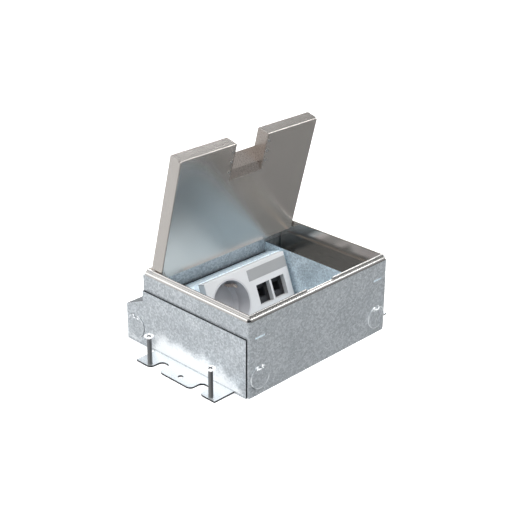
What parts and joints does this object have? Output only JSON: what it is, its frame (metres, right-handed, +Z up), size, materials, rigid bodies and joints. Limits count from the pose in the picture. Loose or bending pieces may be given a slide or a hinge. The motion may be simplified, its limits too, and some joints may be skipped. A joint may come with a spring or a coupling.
{
  "type": "floor socket box",
  "caption": "Recessed steel floor box with a hinged tray lid, tilted power and data devices, side cable channels, a rear cable compartment and levelling screws.",
  "frame": {"origin": "under the middle of the part's outline, on the surface that it stands on", "axes": "+X to the right along the lid's hinge, +Y to the back, from the plug space to the rear compartment, +Z up"},
  "size_m": [0.206, 0.1402, 0.171],
  "materials": {
    "galvanised_steel": "zinc spangle, matt",
    "stainless_steel": "smooth rolled, semi bright",
    "zinc_plated_steel": "bright zinc",
    "white_plastic": "smooth moulded",
    "grey_plastic": "fine matt",
    "black_plastic": "matt",
    "dark_plastic": "matt",
    "copper_alloy": "bright strip"
  },
  "bodies": {
    "housing": {"body_shell": "galvanised_steel", "bottom_plate": "galvanised_steel", "left_channel_cover": "galvanised_steel", "right_channel_cover": "galvanised_steel", "rear_hood": "galvanised_steel", "left_bracket": "galvanised_steel", "right_bracket": "galvanised_steel", "front_knockout_left": "galvanised_steel", "front_knockout_right": "galvanised_steel", "cheek_knockout_left": "galvanised_steel", "cheek_knockout_right": "galvanised_steel", "floor_frame": "stainless_steel", "lid_rest_left": "stainless_steel", "lid_rest_right": "stainless_steel", "hinge_pin_left": "zinc_plated_steel", "hinge_pin_right": "zinc_plated_steel", "hinge_washer_left": "white_plastic", "hinge_washer_right": "white_plastic", "device_carrier": "galvanised_steel", "carrier_screws": "zinc_plated_steel", "device_screws": "zinc_plated_steel", "face_plate": "white_plastic", "label_strip": "grey_plastic", "socket_well": "white_plastic", "earth_bow": "copper_alloy", "socket_base": "dark_plastic", "contact_sleeve_left": "copper_alloy", "contact_sleeve_right": "copper_alloy", "terminal_screws": "zinc_plated_steel", "socket_support_ring": "galvanised_steel", "data_support": "dark_plastic", "data_jack_left": "black_plastic", "data_jack_right": "black_plastic", "earth_stud": "zinc_plated_steel", "earth_nut": "zinc_plated_steel"},
    "lid": {"lid_tray": "stainless_steel", "cord_outlet_insert": "stainless_steel", "insert_rivets": "zinc_plated_steel"},
    "leveller_front_left": {"levelling_screw_front_left": "zinc_plated_steel"},
    "leveller_rear_left": {"levelling_screw_rear_left": "zinc_plated_steel"},
    "leveller_front_right": {"levelling_screw_front_right": "zinc_plated_steel"},
    "leveller_rear_right": {"levelling_screw_rear_right": "zinc_plated_steel"}
  },
  "joints": [
    {"name": "lid_hinge", "type": "hinge", "parent": "housing", "child": "lid", "pos_m": [0, 0.0424, 0.0666], "axis": [-1, 0, 0], "range_deg": [-75.5, 36]},
    {"name": "leveller_front_left_travel", "type": "slide", "parent": "housing", "child": "leveller_front_left", "axis": [0, 0, 1], "range_m": [-0.022, 0]},
    {"name": "leveller_rear_left_travel", "type": "slide", "parent": "housing", "child": "leveller_rear_left", "axis": [0, 0, 1], "range_m": [-0.022, 0]},
    {"name": "leveller_front_right_travel", "type": "slide", "parent": "housing", "child": "leveller_front_right", "axis": [0, 0, 1], "range_m": [-0.022, 0]},
    {"name": "leveller_rear_right_travel", "type": "slide", "parent": "housing", "child": "leveller_rear_right", "axis": [0, 0, 1], "range_m": [-0.022, 0]}
  ]
}
